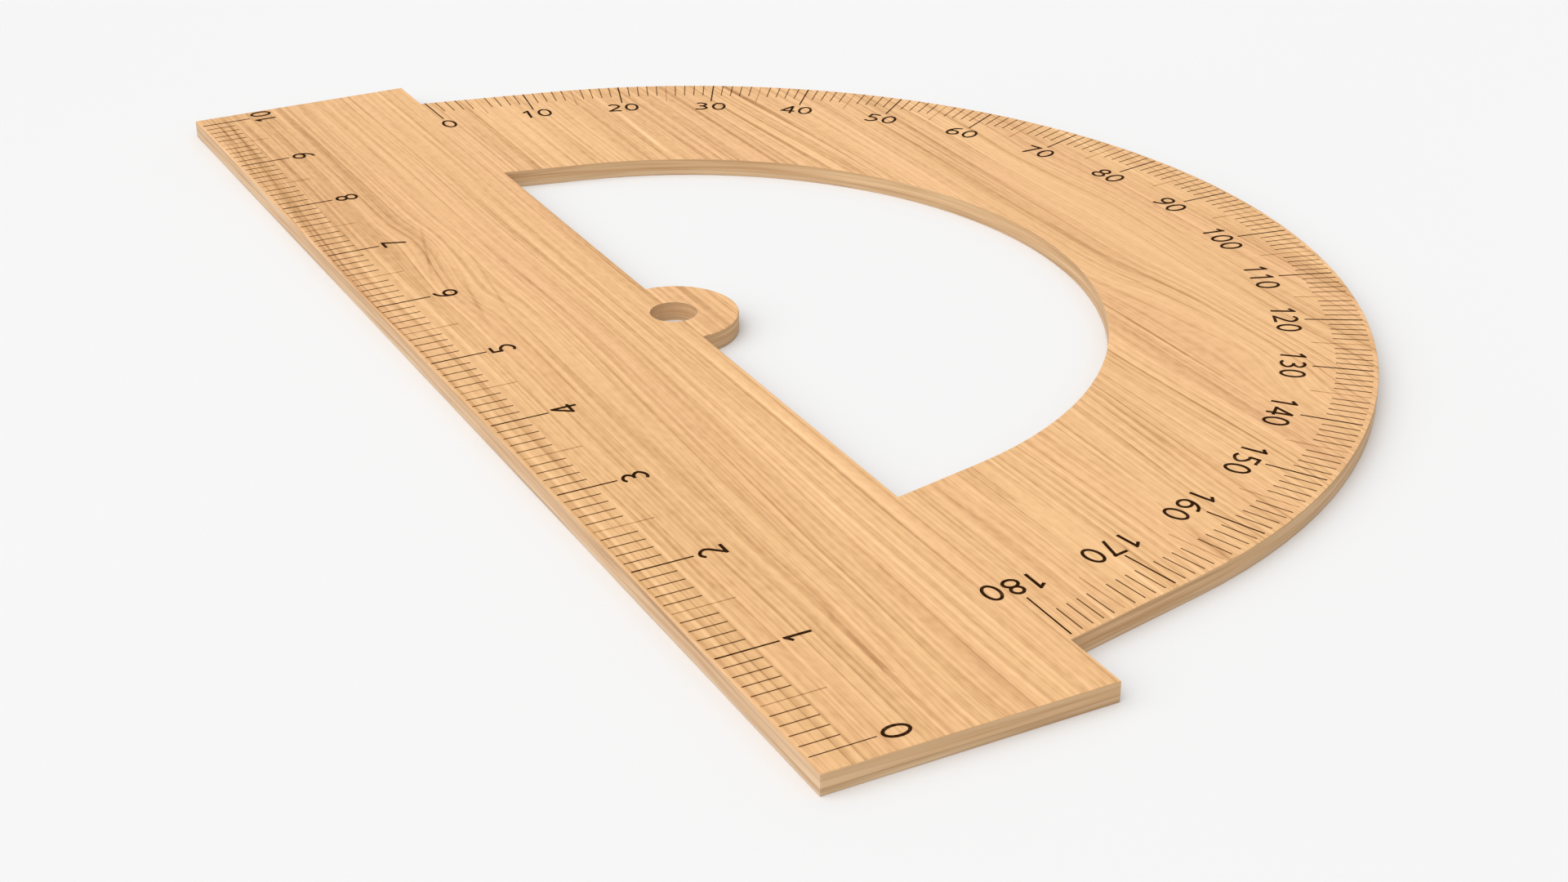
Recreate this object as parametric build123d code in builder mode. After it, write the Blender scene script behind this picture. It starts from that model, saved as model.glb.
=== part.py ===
from build123d import *
import os
from math import cos, radians, sin, tan

# Wooden school protractor. A ruler bar and a half-ring bow are cut in one outline from
# thin three-ply board, with a centimetre scale and a degree scale printed on the face.
#
# Frame, in millimetres: the origin is the centre of the vertex hole on the underside.
# +X runs along the ruler towards its zero, +Y towards the bow, +Z up out of the printed face.

# ---- Board ---------------------------------------------------------------------------
veneer_thickness = 0.40
glue_thickness = 0.055
board_thickness = 3 * veneer_thickness + 2 * glue_thickness
arris_radius = 0.06

ruler_length = 103.0
ruler_width = 17.45  # its inner edge is the line Y = 0, through the vertex hole

bow_outer_radius = 45.9
bow_inner_radius = 28.66
bow_center_y = 0.35
straight_angle = 12.0  # the last stretch of each arc runs straight down to the ruler

tab_radius = 4.38
hole_radius = 1.6

# ---- Ink -----------------------------------------------------------------------------
ink_thickness = 0.02
heavy_line = 0.10
medium_line = 0.07
fine_line = 0.05

# ---- Centimetre scale ----------------------------------------------------------------
ruler_centimetres = 10
ruler_mark_inset = 0.20  # bare wood between the long edge and the marks
centimetre_mark = 3.80
millimetre_mark = 2.30
ruler_numeral_foot = 5.95  # from the long edge to the foot of the numerals

# ---- Degree scale --------------------------------------------------------------------
degree_center = (-0.15, 0.30)
degree_mark_inset = 0.20
base_mark = 4.20  # the marks at 0 and 180 degrees
ten_degree_mark = 3.82
one_degree_mark = 2.35
degree_numeral_foot = 39.80  # radius at the foot of the numerals
numeral_outset = 0.60  # how far the numerals at 0 and 180 stand outside the others' circle
outset_halving = 7.0  # degrees of the scale over which that outset halves

# ---- Numerals ------------------------------------------------------------------------
numeral_height = 1.68
stroke = 0.20
digit_pitch = 1.40
top = numeral_height - stroke / 2  # centre lines of the top and bottom strokes
foot = stroke / 2
middle = numeral_height / 2

os.makedirs("parts", exist_ok=True)


# ---- Outline -------------------------------------------------------------------------
def bow_area(radius):
    """The area inside one edge of the bow: an arc that ends in two straight tangents."""
    angle = radians(straight_angle)
    arc_x = radius * cos(angle)
    arc_y = bow_center_y + radius * sin(angle)
    foot_x = arc_x + arc_y * tan(angle)
    with BuildSketch() as area:
        with BuildLine():
            Line((foot_x, 0), (arc_x, arc_y))
            ThreePointArc((arc_x, arc_y), (0, bow_center_y + radius), (-arc_x, arc_y))
            Line((-arc_x, arc_y), (-foot_x, 0))
            Line((-foot_x, 0), (foot_x, 0))
        make_face()
    return area.sketch


# Every layer has the same outline. The vertex hole is drilled through it afterwards.
with BuildSketch() as board_outline:
    add(bow_area(bow_outer_radius))
    add(bow_area(bow_inner_radius), mode=Mode.SUBTRACT)
    Rectangle(ruler_length, ruler_width, align=(Align.CENTER, Align.MAX))
    Circle(tab_radius)


def save(piece, name):
    """Names a finished piece and writes it."""
    piece.part.label = name
    export_step(piece.part, f"parts/{name}.step")


# ---- Layers of the board, from the underside up --------------------------------------
lower_glue_z = veneer_thickness
core_z = lower_glue_z + glue_thickness
upper_glue_z = core_z + veneer_thickness
face_z = upper_glue_z + glue_thickness

with BuildPart() as back_veneer:
    with BuildSketch(Plane.XY):
        add(board_outline.sketch)
    extrude(amount=veneer_thickness)
    fillet(back_veneer.edges().group_by(Axis.Z)[0], radius=arris_radius)
    Hole(radius=hole_radius)
save(back_veneer, "back_veneer")

with BuildPart() as lower_glue_line:
    with BuildSketch(Plane.XY.offset(lower_glue_z)):
        add(board_outline.sketch)
    extrude(amount=glue_thickness)
    Hole(radius=hole_radius)
save(lower_glue_line, "lower_glue_line")

with BuildPart() as core_veneer:
    with BuildSketch(Plane.XY.offset(core_z)):
        add(board_outline.sketch)
    extrude(amount=veneer_thickness)
    Hole(radius=hole_radius)
save(core_veneer, "core_veneer")

with BuildPart() as upper_glue_line:
    with BuildSketch(Plane.XY.offset(upper_glue_z)):
        add(board_outline.sketch)
    extrude(amount=glue_thickness)
    Hole(radius=hole_radius)
save(upper_glue_line, "upper_glue_line")

with BuildPart() as face_veneer:
    with BuildSketch(Plane.XY.offset(face_z)):
        add(board_outline.sketch)
    extrude(amount=veneer_thickness)
    fillet(face_veneer.edges().group_by(Axis.Z)[-1], radius=arris_radius)
    Hole(radius=hole_radius)
save(face_veneer, "face_veneer")


# ---- Numeral shapes: each stands on its foot line, centred on x = 0 ------------------
def draw_ring(center, half_width, half_height):
    """Oval stroke, sized on its centre line."""
    with Locations(center):
        Ellipse(half_width + stroke / 2, half_height + stroke / 2)
        Ellipse(half_width - stroke / 2, half_height - stroke / 2, mode=Mode.SUBTRACT)


def draw_stroke(start, end):
    """Straight stroke with square ends."""
    with BuildSketch() as line_stroke:
        with BuildLine():
            Line(start, end)
        trace(line_width=stroke)
    add(line_stroke.sketch)


def trim_to_cell():
    """Cuts the strokes level with the head and foot lines."""
    with Locations((0, middle)):
        Rectangle(digit_pitch, numeral_height, mode=Mode.INTERSECT)


with BuildSketch() as zero:
    draw_ring((0, middle), 0.46, middle - stroke / 2)

with BuildSketch() as one:
    with BuildLine():
        Polyline((-0.28, 1.26), (0.12, top), (0.12, 0))
    trace(line_width=stroke)
    trim_to_cell()

with BuildSketch() as two:
    with BuildLine():
        Spline((-0.42, 1.37), (-0.04, top), (0.36, 1.20), (0.06, 0.62), (-0.40, foot))
    trace(line_width=stroke)
    draw_stroke((-0.50, foot), (0.52, foot))

with BuildSketch() as three:
    with BuildLine():
        Spline((-0.38, 1.45), (-0.02, top), (0.34, 1.24), (0.02, 0.89), (-0.16, 0.87))
    trace(line_width=stroke)
    with BuildLine():
        Spline((-0.16, 0.87), (0.06, 0.86), (0.42, 0.48), (0.00, foot), (-0.43, 0.22))
    trace(line_width=stroke)

with BuildSketch() as four:
    draw_stroke((0.28, 0), (0.28, numeral_height))
    draw_stroke((-0.57, 0.50), (0.58, 0.50))
    draw_stroke((-0.49, 0.47), (0.26, 1.62))
    trim_to_cell()

with BuildSketch() as five:
    with BuildLine():
        Polyline((0.44, top), (-0.27, top), (-0.33, 0.93))
    trace(line_width=stroke)
    with BuildLine():
        Spline((-0.35, 0.93), (0.02, 0.97), (0.42, 0.53), (0.02, foot), (-0.43, 0.20))
    trace(line_width=stroke)

with BuildSketch() as six:
    draw_ring((0.02, 0.52), 0.44, 0.42)
    with BuildLine():
        Spline((-0.42, 0.50), (-0.36, 0.98), (-0.10, 1.38), (0.38, top))
    trace(line_width=stroke)

with BuildSketch() as seven:
    draw_stroke((-0.50, top), (0.52, top))
    draw_stroke((0.43, numeral_height), (-0.24, -stroke))
    trim_to_cell()

with BuildSketch() as eight:
    draw_ring((0, 0.48), 0.45, 0.38)
    with BuildSketch(mode=Mode.PRIVATE) as upper_ring:
        draw_ring((0, 1.22), 0.37, 0.36)
    add(upper_ring.sketch)

with BuildSketch() as nine:
    with Locations((0, numeral_height)):
        add(six.sketch, rotation=180)

digits = [zero, one, two, three, four, five, six, seven, eight, nine]


def draw_number(number):
    """The numerals of one number, side by side, centred on the sketch's origin."""
    text = str(number)
    for place, digit in enumerate(text):
        with Locations(((place - (len(text) - 1) / 2) * digit_pitch, 0)):
            add(digits[int(digit)].sketch)


# ---- Centimetre scale ----------------------------------------------------------------
def ruler_mark_x(millimetres):
    """Place of a ruler mark: the zero is at the +X end, and the scale is centred."""
    return ruler_centimetres * 10 / 2 - millimetres


def draw_ruler_marks(millimetres, length, width):
    """Marks across the ruler's long edge, one for each value in the list."""
    start_y = ruler_mark_inset - ruler_width
    with Locations([(ruler_mark_x(value), start_y) for value in millimetres]):
        Rectangle(width, length, align=(Align.CENTER, Align.MIN))


centimetre_values = [10 * value for value in range(ruler_centimetres + 1)]
half_centimetre_values = [value + 5 for value in centimetre_values[:-1]]
millimetre_values = [value for value in range(10 * ruler_centimetres) if value % 5]

with BuildPart() as ruler_cm_lines:
    with BuildSketch(Plane.XY.offset(board_thickness)):
        draw_ruler_marks(centimetre_values[1:], centimetre_mark, heavy_line)
        draw_ruler_marks(centimetre_values[:1], centimetre_mark, fine_line)  # the zero is thin
    extrude(amount=ink_thickness)
save(ruler_cm_lines, "ruler_cm_lines")

with BuildPart() as ruler_half_cm_lines:
    with BuildSketch(Plane.XY.offset(board_thickness)):
        draw_ruler_marks(half_centimetre_values, centimetre_mark, fine_line)
    extrude(amount=ink_thickness)
save(ruler_half_cm_lines, "ruler_half_cm_lines")

with BuildPart() as ruler_mm_lines:
    with BuildSketch(Plane.XY.offset(board_thickness)):
        draw_ruler_marks(millimetre_values, millimetre_mark, medium_line)
    extrude(amount=ink_thickness)
save(ruler_mm_lines, "ruler_mm_lines")


def ruler_number_plane(centimetres):
    """Plane of one ruler number. Its upright points away from the bow."""
    origin = (ruler_mark_x(10 * centimetres), ruler_numeral_foot - ruler_width, board_thickness)
    return Plane(origin=origin, x_dir=(-1, 0, 0), z_dir=(0, 0, 1))


with BuildPart() as ruler_numerals:
    for centimetres in range(ruler_centimetres + 1):
        with BuildSketch(ruler_number_plane(centimetres)):
            draw_number(centimetres)
    extrude(amount=ink_thickness)
save(ruler_numerals, "ruler_numerals")


# ---- Degree scale: 0 at the ruler's far end, 180 at its zero end ---------------------
def flare(degrees):
    """How far the bow's straight ends stand outside its circle, at a mark's angle."""
    from_end = min(degrees, 180 - degrees)
    past_arc = radians(max(0, straight_angle - from_end))
    return bow_outer_radius / cos(past_arc) - bow_outer_radius


def degree_plane(degrees, radius):
    """Plane on the printed face at one degree value, with its upright pointing outwards."""
    angle = radians(degrees)
    x = degree_center[0] - radius * cos(angle)
    y = degree_center[1] + radius * sin(angle)
    across = (sin(angle), cos(angle), 0)
    return Plane(origin=(x, y, board_thickness), x_dir=across, z_dir=(0, 0, 1))


def mark_plane(degrees):
    """Plane at the outer end of one degree mark, a little inside the bow's edge."""
    return degree_plane(degrees, bow_outer_radius - degree_mark_inset + flare(degrees))


def draw_degree_mark(length, width):
    """One mark that runs inwards from the sketch's origin."""
    Rectangle(width, length, align=(Align.CENTER, Align.MAX))


with BuildPart() as degree_ten_lines:
    for degrees in range(10, 180, 10):
        with BuildSketch(mark_plane(degrees)):
            draw_degree_mark(ten_degree_mark, heavy_line)
    for degrees in (0, 180):
        with BuildSketch(mark_plane(degrees)):
            draw_degree_mark(base_mark, heavy_line)
    extrude(amount=ink_thickness)
save(degree_ten_lines, "degree_ten_lines")

with BuildPart() as degree_five_lines:
    for degrees in range(5, 180, 10):
        with BuildSketch(mark_plane(degrees)):
            draw_degree_mark(ten_degree_mark, fine_line)
    extrude(amount=ink_thickness)
save(degree_five_lines, "degree_five_lines")

one_degree_values = [value for value in range(180) if value % 5]

with BuildPart() as degree_one_lines:
    for degrees in one_degree_values:
        with BuildSketch(mark_plane(degrees)):
            draw_degree_mark(one_degree_mark, medium_line)
    extrude(amount=ink_thickness)
save(degree_one_lines, "degree_one_lines")

with BuildPart() as degree_numerals:
    for degrees in range(0, 181, 10):
        from_end = min(degrees, 180 - degrees)
        radius = degree_numeral_foot + numeral_outset * 0.5 ** (from_end / outset_halving)
        with BuildSketch(degree_plane(degrees, radius)):
            draw_number(degrees)
    extrude(amount=ink_thickness)
save(degree_numerals, "degree_numerals")
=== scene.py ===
import math

import bpy
from mathutils import Color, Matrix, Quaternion, Vector


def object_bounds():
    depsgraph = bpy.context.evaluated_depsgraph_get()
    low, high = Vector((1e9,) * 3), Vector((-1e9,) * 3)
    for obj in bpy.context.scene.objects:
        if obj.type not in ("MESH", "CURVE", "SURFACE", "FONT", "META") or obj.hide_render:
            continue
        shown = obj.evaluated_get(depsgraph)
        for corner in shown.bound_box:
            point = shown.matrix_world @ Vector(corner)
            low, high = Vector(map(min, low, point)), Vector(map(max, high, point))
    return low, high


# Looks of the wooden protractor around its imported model: the grain of the board, its cut edges,
# the printed scales, a pale studio floor, soft light and the camera.
# Places are in metres in the model's frame: X along the ruler to its zero, Y to the bow, Z up.
# Patterns are worked out in millimetres, where the numbers are easy to read.

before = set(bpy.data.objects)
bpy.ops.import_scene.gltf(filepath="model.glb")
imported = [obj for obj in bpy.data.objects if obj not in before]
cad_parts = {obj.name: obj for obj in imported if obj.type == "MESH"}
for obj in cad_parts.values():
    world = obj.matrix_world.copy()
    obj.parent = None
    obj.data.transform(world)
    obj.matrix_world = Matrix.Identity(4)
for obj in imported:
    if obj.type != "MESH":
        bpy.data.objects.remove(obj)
cad_low, cad_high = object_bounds()

MM = 0.001

# Where the ruler's long edge lies, in millimetres.
LONG_EDGE = cad_low.y / MM


def screen(red, green, blue):
    """The linear colour behind an 8-bit screen colour, as red, green, blue and alpha."""
    linear = Color((red / 255, green / 255, blue / 255)).from_srgb_to_scene_linear()
    return (*linear, 1.0)


# ---------------------------------------------------------------- writing node graphs

# A spot has this share of its strength left at its reach. It fades by this power of the distance
# along its length, which makes it even, with soft ends.
SPOT_EDGE = 0.37
SPOT_FLATNESS = 4.0


class Graph:
    """Writes one material's nodes. Most calls add nodes and give back what comes out of them."""

    def __init__(self, name):
        self.material = bpy.data.materials.new(name)
        self.material.use_nodes = True
        self.tree = self.material.node_tree
        self.shader = self.tree.nodes["Principled BSDF"]

    def feed(self, socket, value):
        """Links a socket to value, or sets it where value is a plain number or colour."""
        if isinstance(value, bpy.types.NodeSocket):
            self.tree.links.new(value, socket)
        else:
            socket.default_value = value

    def add(self, kind, *values, **settings):
        """A node of that kind, with its settings, and its inputs fed in order."""
        node = self.tree.nodes.new("ShaderNode" + kind)
        for name, setting in settings.items():
            setattr(node, name, setting)
        for socket, value in zip(node.inputs, values):
            self.feed(socket, value)
        return node

    def math(self, operation, *values):
        """One number worked out from others."""
        return self.add("Math", *values, operation=operation).outputs[0]

    def vector(self, operation, *values):
        """A vector worked out from others, or the number that a dot product gives."""
        node = self.add("VectorMath", *values, operation=operation)
        return node.outputs["Value" if operation == "DOT_PRODUCT" else "Vector"]

    def point(self, x, y, z):
        """A vector from its three coordinates."""
        return self.add("CombineXYZ", x, y, z).outputs[0]

    def noise(self, point, detail=0.0):
        """Smooth noise about zero, mostly from -0.3 to 0.3, with one feature per unit of point."""
        node = self.add("TexNoise", noise_dimensions="3D")
        self.feed(node.inputs["Vector"], point)
        self.feed(node.inputs["Scale"], 1.0)
        self.feed(node.inputs["Detail"], detail)
        return self.math("SUBTRACT", node.outputs["Fac"], 0.5)

    def span(self, value, none, full):
        """A smooth step of value, from 0 where it is none to 1 where it is full."""
        return self.add("MapRange", value, none, full, interpolation_type="SMOOTHSTEP").outputs[0]

    def spot(self, x, y, before, centre, angle, reach):
        """A soft oval at x and y, one at its centre and about a third at its reach.

        It rides on before, a value that Cycles then works out first: spots that could all be
        worked out at once would overfill its small shader stack.
        """
        place = self.point(x, y, before)
        along = (math.cos(angle) / reach[0], math.sin(angle) / reach[0], 0.0)
        across = (-math.sin(angle) / reach[1], math.cos(angle) / reach[1], 0.0)
        shares = []
        for axis in (along, across):
            offset = -axis[0] * centre[0] - axis[1] * centre[1]
            shares.append(self.math("ADD", self.vector("DOT_PRODUCT", place, axis), offset))
        ends = self.math("POWER", shares[0], SPOT_FLATNESS)
        away = self.math("MULTIPLY_ADD", shares[1], shares[1], ends)
        return self.math("POWER", SPOT_EDGE, away)

    def mix(self, amount, first, second, blend_type="MIX"):
        """Two colours blended, where amount goes from 0, the first alone, to 1."""
        node = self.add("Mix", data_type="RGBA", blend_type=blend_type)
        for name, value in (("Factor_Float", amount), ("A_Color", first), ("B_Color", second)):
            self.feed(next(s for s in node.inputs if s.identifier == name), value)
        return next(s for s in node.outputs if s.identifier == "Result_Color")

    def ramp(self, value, stops):
        """The colour at value on a ramp through (place, screen colour) stops."""
        node = self.add("ValToRGB", value)
        elements = node.color_ramp.elements
        while len(elements) < len(stops):
            elements.new(0.5)
        for element, (place, colour) in zip(elements, stops):
            element.position = place
            element.color = screen(*colour)
        return node.outputs[0]

    def bump(self, height, depth):
        """Tilts the surface as height does, where 1 of height stands depth metres proud."""
        node = self.add("Bump")
        self.feed(node.inputs["Strength"], 1.0)
        self.feed(node.inputs["Distance"], depth)
        self.feed(node.inputs["Height"], height)
        self.feed(self.shader.inputs["Normal"], node.outputs[0])

    def finish(self, colour, roughness, specular):
        """The material, once its surface has these."""
        self.feed(self.shader.inputs["Base Color"], colour)
        self.feed(self.shader.inputs["Roughness"], roughness)
        self.feed(self.shader.inputs["Specular IOR Level"], specular)
        return self.material


# ---------------------------------------------------------------- wood

# Two ways that the grain lines drift sideways: waves per millimetre along the grain and across it,
# the level of their noise, and how far they drift, in millimetres.
RIPPLE = (0.05, 0.15, 7.0, 0.18)
DRIFT = (0.016, 0.05, 0.0, 1.2)

# Layers of grain lines, coarse to fine: lines per millimetre across, lines per millimetre along,
# and how strongly each layer tells.
GRAIN_LAYERS = (
    (0.16, 0.006, 0.22),
    (0.45, 0.008, 0.20),
    (1.00, 0.012, 0.28),
    (1.80, 0.018, 0.46),
    (2.80, 0.024, 0.92),
    (4.20, 0.035, 0.95),
    (6.50, 0.150, 0.50),
    (1.40, 0.700, 0.24),
    (3.20, 1.300, 0.45),
)

# Growth rings: rings per millimetre across, how far they wander, in rings, how strongly they tell.
RING_SETS = (
    (0.85, 2.4, 0.62),
    (1.60, 3.0, 0.52),
    (2.70, 4.0, 0.50),
)

# Noise that makes rings wander, and noise that fades them in and out: features per millimetre
# along the grain, and features across it, per millimetre and per ring. A ring is absent where the
# fading noise is under its span, and full above it.
RING_WANDER = (0.012, 0.45)
RING_FADE = (0.02, 0.9)
RING_FADE_SPAN = (-0.25, 0.3)

# How suddenly a ring darkens into its late wood, and the share of its strength that is given back
# everywhere, so that rings don't darken the whole board.
RING_SHARPNESS = 5.0
RING_MEAN = 0.07

# Noise levels are this far apart, so that no two patterns are alike.
GRAIN_STEP = 3.0
RING_LEVEL = 20.0
RING_STEP = 4.0
RING_FADE_LEVEL = 2.0
PINK_LEVEL = 40.0
RIM_LEVEL = 5.0
RIM_STEP = 5.0

# Layers of streaks in a cut edge: streaks per millimetre along it, per millimetre through the
# board, and how strongly each layer tells.
RIM_LAYERS = (
    (0.045, 1.70, 0.75),
    (0.110, 4.20, 1.00),
    (0.260, 9.00, 0.45),
)

# How a cut edge's streaks wave: waves per millimetre along it, and their size in millimetres.
RIM_WAVES = 0.09
RIM_WAVE_SIZE = 0.30

# Where the printed face's grain leaves its straight run. Each figure is its centre, its reach
# along and across the grain, how far it lifts the lines there, and how steeply it tilts them.
FACE_FIGURES = (
    ((19.0, 30.5), (9.0, 2.6), 1.9, 0.0),
    ((-14.5, -10.6), (7.0, 2.0), 0.0, -0.14),
    ((-32.0, -16.3), (22.0, 1.8), 0.0, -0.055),
    ((-28.0, 23.5), (16.0, 3.0), 0.0, 0.07),
    ((-9.0, 37.5), (8.0, 2.5), 0.0, 0.07),
    ((20.0, -7.0), (30.0, 3.5), 0.0, -0.04),
    ((44.0, -8.5), (9.0, 3.0), 0.0, -0.035),
    ((30.0, 16.0), (12.0, 3.0), 0.0, -0.06),
    ((28.0, 22.5), (12.0, 2.0), 0.0, 0.045),
    ((10.0, 36.5), (12.0, 2.5), 0.0, -0.05),
)

# Streaks of the printed face that stand out from its grain: where each starts and ends, its half
# width, and its tone, below zero where it is dark.
FACE_STREAKS = (
    ((-51.0, -15.2), (-22.0, -16.7), 0.22, -0.60),
    ((-50.0, -15.9), (-38.0, -17.0), 0.20, -0.45),
    ((-51.0, -17.0), (-45.0, -17.3), 0.20, -0.35),
    ((-22.0, -16.7), (-10.0, -17.3), 0.14, -0.30),
    ((-24.0, -0.4), (-5.0, -0.35), 0.18, -0.35),
    ((-20.0, -6.6), (20.0, -8.0), 0.12, -0.32),
    ((-15.0, -8.4), (-5.0, -9.7), 0.18, -0.40),
    ((-5.0, -9.7), (20.0, -9.9), 0.16, -0.32),
    ((-13.0, -10.2), (-5.0, -11.5), 0.25, -0.45),
    ((-22.0, -9.6), (-13.0, -12.2), 0.20, -0.35),
    ((2.0, -1.5), (52.0, -1.3), 0.20, -0.50),
    ((0.0, -3.6), (42.0, -4.6), 0.13, -0.40),
    ((19.0, -6.5), (49.0, -7.4), 0.18, -0.42),
    ((20.0, -8.5), (24.0, -8.9), 0.15, -0.40),
    ((36.0, -9.7), (52.0, -10.4), 0.50, -0.16),
    ((42.0, -8.8), (52.0, -9.8), 0.15, -0.28),
    ((24.0, -13.9), (34.0, -14.1), 0.20, -0.40),
    ((35.0, -16.1), (42.0, -16.2), 0.30, -0.30),
    ((-15.0, -14.0), (25.0, -14.7), 0.20, 0.45),
    ((-13.0, -7.8), (5.0, -8.3), 0.15, 0.35),
    ((0.0, -8.0), (8.0, -8.4), 0.30, 0.30),
    ((38.0, -9.2), (43.0, -9.4), 0.30, 0.30),
    ((40.0, -13.3), (48.0, -13.8), 0.20, 0.30),
    ((-37.0, 13.4), (-27.5, 12.9), 0.20, 0.50),
    ((-38.0, 9.7), (-27.0, 9.6), 0.25, 0.35),
    ((-38.0, 12.9), (-27.0, 12.6), 0.15, -0.40),
    ((-42.0, 12.2), (-26.0, 12.0), 0.15, -0.35),
    ((-44.0, 9.2), (-34.0, 9.0), 0.15, -0.35),
    ((-38.0, 7.4), (-27.0, 7.1), 0.15, -0.35),
    ((-40.0, 3.5), (-29.0, 3.3), 0.15, -0.35),
    ((-43.0, 1.7), (-29.0, 1.6), 0.15, -0.35),
    ((-42.0, 22.4), (-25.0, 23.3), 0.22, -0.55),
    ((-25.0, 23.3), (-17.0, 24.0), 0.20, -0.45),
    ((-38.0, 24.0), (-28.0, 24.8), 0.15, -0.32),
    ((-36.0, 21.3), (-19.0, 22.3), 0.15, -0.50),
    ((-30.0, 25.5), (-18.0, 25.9), 0.15, -0.32),
    ((-23.0, 30.8), (-8.0, 31.3), 0.35, -0.35),
    ((-10.0, 30.8), (5.0, 30.9), 0.18, -0.35),
    ((-19.0, 29.3), (-5.0, 29.1), 0.15, -0.32),
    ((-32.0, 23.9), (-20.0, 24.6), 0.30, 0.35),
    ((-27.0, 21.5), (-18.0, 21.8), 0.18, 0.30),
    ((-2.0, 31.1), (5.0, 31.1), 0.20, -0.40),
    ((5.0, 31.1), (15.0, 32.2), 0.20, -0.45),
    ((-2.0, 29.7), (4.0, 29.6), 0.15, -0.35),
    ((4.0, 29.6), (18.0, 31.4), 0.18, -0.42),
    ((10.0, 28.3), (22.0, 29.9), 0.18, -0.38),
    ((16.0, 26.3), (25.0, 26.3), 0.15, -0.35),
    ((19.0, 22.2), (38.0, 23.2), 0.15, -0.50),
    ((22.0, 21.3), (33.0, 21.6), 0.14, -0.32),
    ((24.0, 18.6), (33.0, 18.5), 0.13, -0.35),
    ((24.0, 17.9), (33.0, 17.8), 0.13, -0.35),
    ((24.0, 17.2), (33.0, 17.0), 0.13, -0.35),
    ((26.0, 16.6), (34.0, 16.2), 0.14, -0.42),
    ((26.0, 15.9), (33.0, 15.5), 0.14, -0.38),
    ((30.0, 13.0), (34.0, 12.9), 0.30, -0.35),
    ((28.0, 8.2), (44.0, 8.1), 0.15, -0.40),
    ((28.0, 7.4), (35.0, 7.2), 0.15, -0.35),
    ((30.0, 2.6), (35.0, 2.8), 0.15, -0.35),
    ((16.0, 26.0), (30.0, 26.2), 0.20, 0.45),
    ((24.0, 22.0), (33.0, 22.3), 0.18, 0.32),
    ((3.0, 36.0), (17.0, 35.4), 0.15, 0.40),
    ((28.0, 7.8), (38.0, 7.5), 0.18, 0.35),
    ((33.0, 2.0), (38.0, 1.9), 0.18, 0.32),
)

# A streak's spot reaches this share of the streak's length each way, and of its half width.
STREAK_REACH = (0.55, 0.6)

# Broad darker and lighter areas of the printed face: centre, reach and tone.
FACE_AREAS = (
    ((-36.0, -12.5), (24.0, 4.0), -0.26),
    ((28.0, -11.5), (26.0, 2.5), -0.10),
    ((34.0, -3.5), (22.0, 3.0), 0.14),
    ((38.0, 6.0), (10.0, 3.5), 0.18),
    ((-40.0, 5.5), (8.0, 3.0), 0.16),
    ((-8.0, 31.5), (24.0, 1.2), -0.20),
    ((0.0, 34.5), (26.0, 1.6), 0.16),
)

# Where the printed face's grain is faint: centre, reach, and how much of it is lost.
FACE_CALMS = (
    ((0.0, 34.0), (17.0, 5.5), 0.38),
    ((-34.0, -6.0), (16.0, 7.0), 0.22),
    ((0.0, -6.0), (17.0, 5.5), 0.18),
)

# Wood colours from the darkest grain to the lightest, and how fast tone moves through them.
WOOD_CONTRAST = 0.50
WOOD_STOPS = (
    (0.00, (170, 122, 76)),
    (0.26, (204, 157, 107)),
    (0.50, (225, 179, 127)),
    (0.76, (239, 193, 141)),
    (1.00, (248, 208, 158)),
)

# The same for a cut edge.
RIM_CONTRAST = 0.55
RIM_STOPS = (
    (0.00, (150, 112, 74)),
    (0.28, (186, 147, 106)),
    (0.50, (207, 170, 129)),
    (0.74, (220, 187, 147)),
    (1.00, (230, 202, 167)),
)

# What multiplies the wood's colour where it is pinker, with the noise that says where: features
# per millimetre along the grain and across it, and the noise from none to full.
PINK_WOOD = (1.0, 0.970, 1.01, 1.0)
PINK_PATCHES = (0.02, 0.24)
PINK_SPAN = (-0.15, 0.25)

# What multiplies the colour of the ruler's long edge, and how near to that edge, in millimetres,
# from none to full.
GREY_WOOD = (1.03, 1.07, 1.19, 1.0)
GREY_SPAN = (0.15, 0.05)

# A surface's facing is 0 on a cut edge and 1 on a face. The look of one turns into that of the
# other over this span of it, and a corner is where it is off the edge and not yet on the face.
FACE_SPAN = (0.35, 0.85)
OFF_EDGE_SPAN = (0.15, 0.5)
OFF_FACE_SPAN = (0.98, 0.8)

# What multiplies the colour of a worn corner, the patches that it is worn in, per millimetre along
# each axis, and their noise from none to full.
WORN_WOOD = (0.92, 0.90, 0.87, 1.0)
WEAR_PATCHES = (0.35, 0.35, 0.35)
WEAR_SPAN = (-0.1, 0.2)

# Heights of the grain's relief in bare wood, in glue and through ink.
WOOD_RELIEF = 0.006 * MM
GLUE_RELIEF = 0.004 * MM
INK_RELIEF = 0.003 * MM

# Roughness of wood of middle tone, and how it changes with tone.
WOOD_ROUGHNESS = 0.58
ROUGHNESS_CHANGE = -0.06

# What multiplies the wood's colour in a glue line, the patches where the wood has drunk the glue,
# per millimetre along each axis, and their noise from bare to dark.
GLUE_BROWN = (0.84, 0.79, 0.72, 1.0)
SOAK_PATCHES = (0.12, 0.12, 0.5)
SOAK_SPAN = (-0.22, 0.18)

# Patches in the ink, per millimetre along each axis, how much they change its cover, and how much
# the grain's tone does.
INK_PATCHES = (1.6, 1.6, 1.6)
INK_PATCH_CHANGE = 0.15
INK_GRAIN_CHANGE = -0.06

# Where each ply and the glue lie in the noise, so that no two look alike.
FACE_SEED = 2.0
CORE_SEED = 31.0
BACK_SEED = 57.0
GLUE_SEED = 83.0


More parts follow.
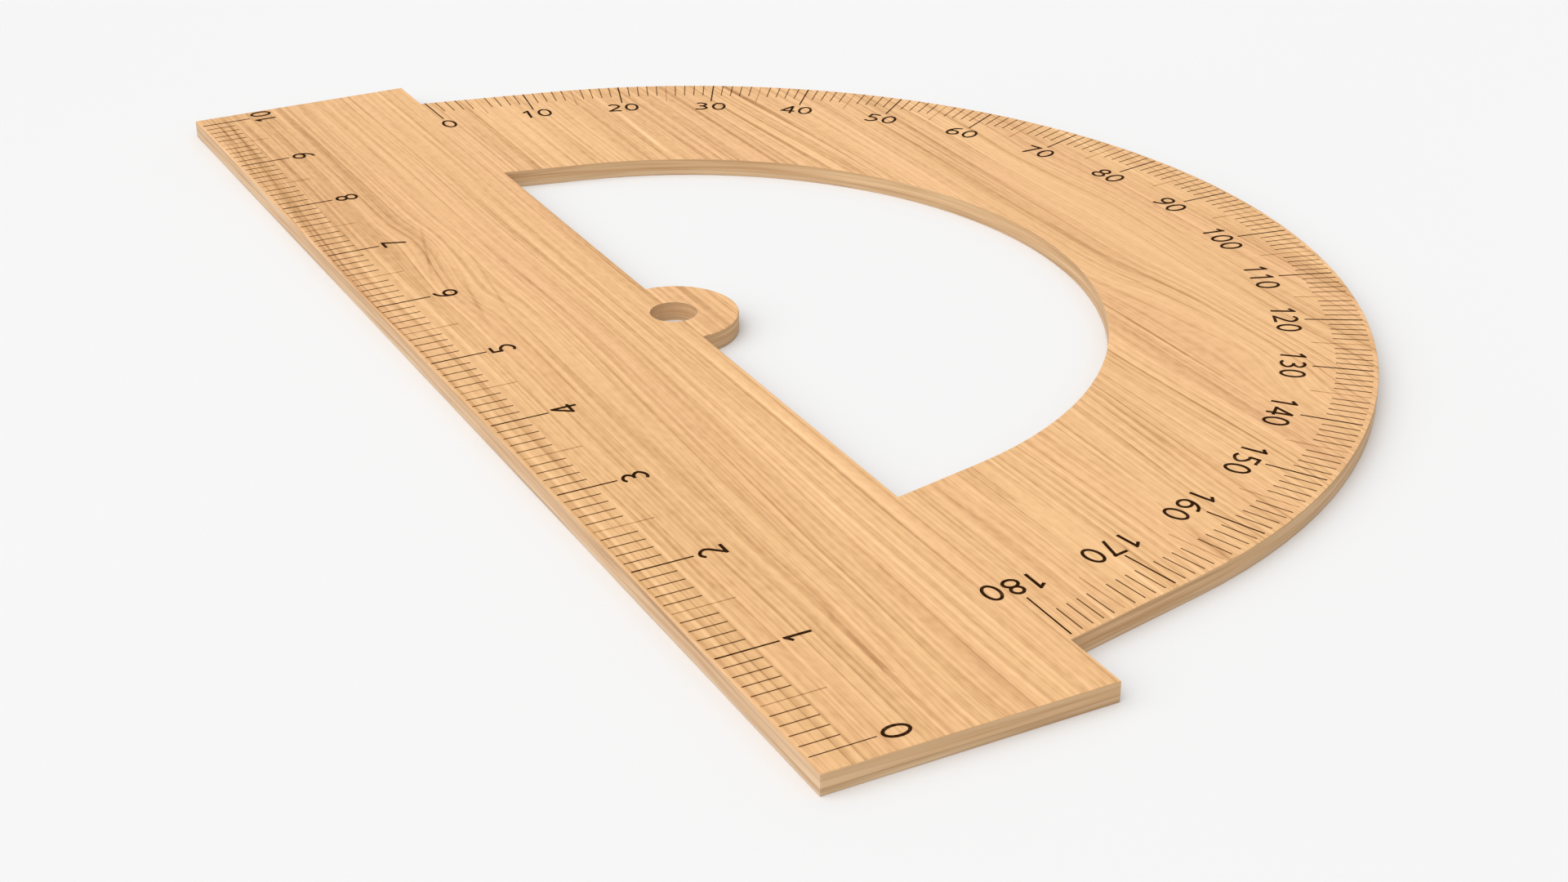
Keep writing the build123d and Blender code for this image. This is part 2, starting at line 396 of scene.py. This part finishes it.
class Board:
    """Millimetre coordinates on the board, and its grain at any place."""

    def __init__(self, graph, seed, figures=(), streaks=(), areas=(), calms=()):
        self.graph = graph
        self.seed = seed
        self.figures = figures
        self.streaks = streaks
        self.areas = areas
        self.calms = calms
        scale = (1 / MM, 1 / MM, 1 / MM)
        self.place = graph.vector("MULTIPLY", graph.add("TexCoord").outputs["Object"], scale)
        self.x, self.y, self.z = graph.add("SeparateXYZ", self.place).outputs
        normal = graph.add("NewGeometry").outputs["Normal"]
        self.facing = graph.math("ABSOLUTE", graph.vector("DOT_PRODUCT", normal, (0.0, 0.0, 1.0)))

    def stretched(self, along, across, y, level):
        """A point for noise whose patterns run along X."""
        g = self.graph
        return g.point(g.math("MULTIPLY", self.x, along), g.math("MULTIPLY", y, across), level)

    def wave(self, along, across, level, size):
        """A slow sideways drift of the grain lines, in millimetres."""
        point = self.stretched(along, across, self.y, self.seed + level)
        return self.graph.math("MULTIPLY", self.graph.noise(point), size)

    def lifted(self, across, centre, reach, lift, tilt):
        """Across, after one figure has moved the grain lines."""
        g = self.graph
        rise = g.math("MULTIPLY_ADD", self.x, tilt, lift - tilt * centre[0])
        spot = g.spot(self.x, self.y, across, centre, 0.0, reach)
        return g.math("SUBTRACT", across, g.math("MULTIPLY", rise, spot))

    def grain(self):
        """Tone of the long grain, about zero, and where that point lies across the lines."""
        g = self.graph
        rippled = g.math("SUBTRACT", self.y, self.wave(*RIPPLE))
        across = g.math("SUBTRACT", rippled, self.wave(*DRIFT))
        for figure in self.figures:
            across = self.lifted(across, *figure)
        tone = self.lines(across)
        for number, ring_set in enumerate(RING_SETS):
            level = self.seed + RING_LEVEL + RING_STEP * number
            tone = self.ringed(tone, across, level, *ring_set)
        for centre, reach, loss in self.calms:
            spot = g.spot(self.x, self.y, tone, centre, 0.0, reach)
            kept = g.math("MULTIPLY_ADD", spot, -loss, 1.0)
            tone = g.math("MULTIPLY", tone, kept)
        spots = [self.streak_spot(*streak) for streak in self.streaks]
        spots += [(centre, 0.0, reach, strength) for centre, reach, strength in self.areas]
        for centre, angle, reach, strength in spots:
            spot = g.spot(self.x, rippled, tone, centre, angle, reach)
            tone = g.math("MULTIPLY_ADD", spot, strength, tone)
        return tone, across

    def lines(self, across):
        """Tone of all the layers of grain lines."""
        g = self.graph
        tone = 0.0
        for number, (density, along, weight) in enumerate(GRAIN_LAYERS):
            point = self.stretched(along, density, across, self.seed + GRAIN_STEP * number)
            tone = g.math("MULTIPLY_ADD", g.noise(point), weight, tone)
        return tone

    def ringed(self, tone, across, level, rings, wander, weight):
        """Tone, once one set of growth rings is in it."""
        g = self.graph
        drift = g.noise(self.stretched(*RING_WANDER, across, level))
        phase = g.math("MULTIPLY_ADD", across, rings, g.math("MULTIPLY", drift, wander))
        late_wood = g.math("POWER", g.math("FRACT", phase), RING_SHARPNESS)
        along, per_ring = RING_FADE
        fade_point = self.stretched(along, per_ring * rings, across, level + RING_FADE_LEVEL)
        strength = g.span(g.noise(fade_point), *RING_FADE_SPAN)
        line = g.math("MULTIPLY", late_wood, strength)
        tone = g.math("MULTIPLY_ADD", line, -weight, tone)
        return g.math("ADD", tone, RING_MEAN * weight)

    def streak_spot(self, start, end, half_width, strength):
        """The centre, angle, reach and strength of the soft oval that covers a streak."""
        centre = ((start[0] + end[0]) / 2, (start[1] + end[1]) / 2)
        run = (end[0] - start[0], end[1] - start[1])
        reach = (math.hypot(*run) * STREAK_REACH[0], half_width * STREAK_REACH[1])
        return centre, math.atan2(run[1], run[0]), reach, strength

    def rim_grain(self):
        """Tone of the thin streaks along a cut edge, about zero."""
        g = self.graph
        offset = (self.seed, 0.0, RIM_LEVEL)
        wave_point = g.vector("MULTIPLY_ADD", self.place, (RIM_WAVES, RIM_WAVES, 0.0), offset)
        depth = g.math("MULTIPLY_ADD", g.noise(wave_point), RIM_WAVE_SIZE, self.z)
        tone = 0.0
        for number, (along, through, weight) in enumerate(RIM_LAYERS):
            point = g.point(
                g.math("MULTIPLY", self.x, along),
                g.math("MULTIPLY", self.y, along),
                g.math("MULTIPLY_ADD", depth, through, self.seed + RIM_STEP * number),
            )
            tone = g.math("MULTIPLY_ADD", g.noise(point), weight, tone)
        return tone

    def colour_of_face(self, tone, across):
        """Honey wood, pinker here and there along the grain."""
        g = self.graph
        wood = g.ramp(g.math("MULTIPLY_ADD", tone, WOOD_CONTRAST, 0.5), WOOD_STOPS)
        pink_point = self.stretched(*PINK_PATCHES, across, self.seed + PINK_LEVEL)
        pink = g.span(g.noise(pink_point, detail=1.0), *PINK_SPAN)
        return g.mix(pink, wood, PINK_WOOD, "MULTIPLY")

    def colour_of_rim(self, tone):
        """Tan wood, paler and greyer along the ruler's long edge."""
        g = self.graph
        wood = g.ramp(g.math("MULTIPLY_ADD", tone, RIM_CONTRAST, 0.5), RIM_STOPS)
        grey = g.span(self.y, LONG_EDGE + GREY_SPAN[0], LONG_EDGE + GREY_SPAN[1])
        return g.mix(grey, wood, GREY_WOOD, "MULTIPLY")

    def worn_arris(self):
        """One on the softened corner between face and edge, in patches, and zero elsewhere."""
        g = self.graph
        off_edge = g.span(self.facing, *OFF_EDGE_SPAN)
        off_face = g.span(self.facing, *OFF_FACE_SPAN)
        corner = g.math("MULTIPLY", off_edge, off_face)
        worn = g.span(self.patches(WEAR_PATCHES), *WEAR_SPAN)
        return g.math("MULTIPLY", corner, worn)

    def patches(self, per_millimetre):
        """Cloudy noise about zero, with that many patches per millimetre along each axis."""
        point = self.graph.vector("MULTIPLY", self.place, per_millimetre)
        return self.graph.noise(point, detail=2.0)


def veneer(name, seed, rim_tint, **features):
    """One ply: long grain on its faces, thin streaks along its cut edge, and worn corners."""
    graph = Graph(name)
    board = Board(graph, seed, **features)
    tone, across = board.grain()
    rim_tone = board.rim_grain()
    flat = graph.span(board.facing, *FACE_SPAN)
    rim = graph.mix(1.0, board.colour_of_rim(rim_tone), rim_tint, "MULTIPLY")
    colour = graph.mix(flat, rim, board.colour_of_face(tone, across))
    colour = graph.mix(board.worn_arris(), colour, WORN_WOOD, "MULTIPLY")
    height = graph.math("MULTIPLY_ADD", graph.math("SUBTRACT", tone, rim_tone), flat, rim_tone)
    graph.bump(height, WOOD_RELIEF)
    roughness = graph.math("MULTIPLY_ADD", height, ROUGHNESS_CHANGE, WOOD_ROUGHNESS)
    return graph.finish(colour, roughness, specular=0.12)


def glue(name, seed):
    """The glue between two plies: a brown line that the wood has drunk unevenly."""
    graph = Graph(name)
    board = Board(graph, seed)
    tone = board.rim_grain()
    wood = board.colour_of_rim(tone)
    dark = graph.mix(1.0, wood, GLUE_BROWN, "MULTIPLY")
    soak = graph.span(board.patches(SOAK_PATCHES), *SOAK_SPAN)
    graph.bump(tone, GLUE_RELIEF)
    return graph.finish(graph.mix(soak, wood, dark), roughness=0.5, specular=0.25)


def ink(name, colour, cover):
    """Thin printed ink. The face's own grain shows through where it has sunk in."""
    graph = Graph(name)
    board = Board(graph, FACE_SEED, FACE_FIGURES)
    tone, across = board.grain()
    wood = board.colour_of_face(tone, across)
    patchy = graph.math("MULTIPLY_ADD", board.patches(INK_PATCHES), INK_PATCH_CHANGE, cover)
    covered = graph.math("MULTIPLY_ADD", tone, INK_GRAIN_CHANGE, patchy)
    inked = graph.mix(covered, wood, screen(*colour))
    graph.bump(tone, INK_RELIEF)
    return graph.finish(inked, roughness=0.7, specular=0.02)


# ---------------------------------------------------------------- floor, light and camera

# The floor's width in metres, its darkest and lightest paint, its clouds per metre along each
# axis, and their noise from darkest to lightest.
FLOOR_WIDTH = 4.0
FLOOR_DARK = (230, 230, 230)
FLOOR_LIGHT = (232, 232, 232)
FLOOR_CLOUDS = (9.0, 9.0, 9.0)
FLOOR_CLOUD_SPAN = (-0.3, 0.3)

# How strong the light from all round is.
WORLD_STRENGTH = 0.41

# Soft lights: name, strength, degrees of sky that each is spread over, and the way it shines.
LIGHTS = (
    ("key_light", 2.21, 84.0, (0.0, 0.64, -0.77)),
    ("end_light", 0.51, 81.0, (-0.64, 0.0, -0.77)),
    ("back_light", 0.62, 110.0, (0.66, -0.66, -0.34)),
)

# The camera's way round the board from its long edge, its height and its roll, in degrees, its
# distance from what it looks at, and that place on the board, half way through its thickness.
CAMERA_AZIMUTH = 61.56
CAMERA_ELEVATION = 27.18
CAMERA_ROLL = 0.186
CAMERA_DISTANCE = 149.94 * MM
CAMERA_AIM = (19.0 * MM, -1.86 * MM)

# The camera's lens and sensor in millimetres, and the nearest and farthest it sees, in metres.
LENS = 56.72
SENSOR_WIDTH = 36.0
SIGHT = (0.01, 20.0)


def floor_paint(name):
    """Pale matt paper with the faintest unevenness."""
    graph = Graph(name)
    place = graph.add("TexCoord").outputs["Object"]
    cloud = graph.noise(graph.vector("MULTIPLY", place, FLOOR_CLOUDS), detail=2.0)
    paleness = graph.span(cloud, *FLOOR_CLOUD_SPAN)
    colour = graph.mix(paleness, screen(*FLOOR_DARK), screen(*FLOOR_LIGHT))
    return graph.finish(colour, roughness=0.9, specular=0.0)


def add_floor():
    """A wide pale floor at the height of the board's back."""
    bpy.ops.mesh.primitive_plane_add(size=FLOOR_WIDTH, location=(0.0, 0.0, cad_low.z))
    floor = bpy.context.object
    floor.name = "studio_floor"
    floor.data.materials.append(floor_paint("studio_floor"))


def add_world():
    """Even white light from all round."""
    world = bpy.data.worlds.new("studio")
    world.use_nodes = True
    background = world.node_tree.nodes["Background"]
    background.inputs["Color"].default_value = (1.0, 1.0, 1.0, 1.0)
    background.inputs["Strength"].default_value = WORLD_STRENGTH
    bpy.context.scene.world = world


def add_light(name, energy, spread, towards):
    """A soft light from far away, spread over that many degrees of sky, shining that way."""
    light = bpy.data.lights.new(name, "SUN")
    light.energy = energy
    light.angle = math.radians(spread)
    lamp = bpy.data.objects.new(name, light)
    bpy.context.scene.collection.objects.link(lamp)
    lamp.rotation_euler = Vector(towards).to_track_quat("-Z", "Y").to_euler()


def add_camera():
    """Looks down along the ruler from beyond its zero end."""
    azimuth = math.radians(CAMERA_AZIMUTH)
    elevation = math.radians(CAMERA_ELEVATION)
    aim = Vector((*CAMERA_AIM, (cad_low.z + cad_high.z) / 2))
    back = Vector((
        math.sin(azimuth) * math.cos(elevation),
        -math.cos(azimuth) * math.cos(elevation),
        math.sin(elevation),
    ))
    data = bpy.data.cameras.new("camera")
    data.lens = LENS
    data.sensor_width = SENSOR_WIDTH
    data.clip_start, data.clip_end = SIGHT
    camera = bpy.data.objects.new("camera", data)
    camera.location = aim + CAMERA_DISTANCE * back
    roll = Quaternion((0.0, 0.0, 1.0), math.radians(CAMERA_ROLL))
    camera.rotation_mode = "QUATERNION"
    camera.rotation_quaternion = (-back).to_track_quat("-Z", "Y") @ roll
    bpy.context.scene.collection.objects.link(camera)
    bpy.context.scene.camera = camera


# ---------------------------------------------------------------- putting it together


def dress(material, *names):
    """Gives these CAD nodes the material."""
    for name in names:
        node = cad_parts[name]
        node.data.materials.clear()
        node.data.materials.append(material)


face = {
    "figures": FACE_FIGURES,
    "streaks": FACE_STREAKS,
    "areas": FACE_AREAS,
    "calms": FACE_CALMS,
}
face_wood = veneer("face_wood", FACE_SEED, rim_tint=(0.95, 0.93, 0.89, 1.0), **face)
core_wood = veneer("core_wood", CORE_SEED, rim_tint=(0.99, 0.97, 0.95, 1.0))
back_wood = veneer("back_wood", BACK_SEED, rim_tint=(0.97, 1.02, 1.08, 1.0))
heavy_line_ink = ink("heavy_line_ink", colour=(52, 26, 0), cover=1.0)
medium_line_ink = ink("medium_line_ink", colour=(70, 38, 4), cover=0.88)
fine_line_ink = ink("fine_line_ink", colour=(84, 50, 12), cover=0.46)
numeral_ink = ink("numeral_ink", colour=(42, 20, 0), cover=1.0)

dress(face_wood, "face_veneer")
dress(core_wood, "core_veneer")
dress(back_wood, "back_veneer")
dress(glue("glue", GLUE_SEED), "lower_glue_line", "upper_glue_line")
dress(heavy_line_ink, "ruler_cm_lines", "degree_ten_lines")
dress(medium_line_ink, "ruler_mm_lines", "degree_one_lines")
dress(fine_line_ink, "ruler_half_cm_lines", "degree_five_lines")
dress(numeral_ink, "ruler_numerals", "degree_numerals")

add_floor()
add_world()
for light in LIGHTS:
    add_light(*light)
add_camera()
bpy.context.scene.view_settings.view_transform = "Standard"
